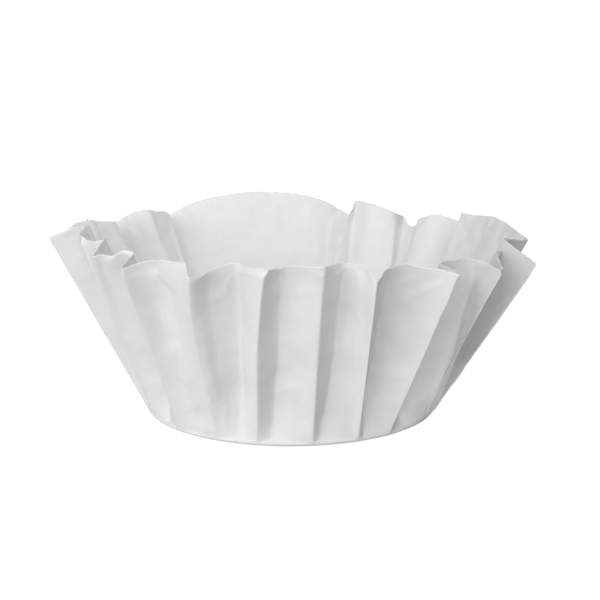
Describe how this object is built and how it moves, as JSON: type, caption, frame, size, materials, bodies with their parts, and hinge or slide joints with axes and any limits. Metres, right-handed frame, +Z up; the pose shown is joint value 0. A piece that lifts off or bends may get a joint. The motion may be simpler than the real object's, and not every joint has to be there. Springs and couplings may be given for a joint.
{
  "type": "paper coffee filter",
  "caption": "White basket-style paper coffee filter: one disc of thin paper pressed into a flat round floor and a fluted, flaring wall with irregular folds.",
  "frame": {"origin": "centre of the floor's underside", "axes": "+Z up through the open mouth; -Y is the front, the closely fluted side; +Y is the back, the side with the one smooth unfolded span"},
  "size_m": [0.1305, 0.1508, 0.0543],
  "materials": {
    "filter_paper": "matte"
  },
  "bodies": {
    "root": {"filter_paper": "filter_paper"}
  },
  "joints": []
}
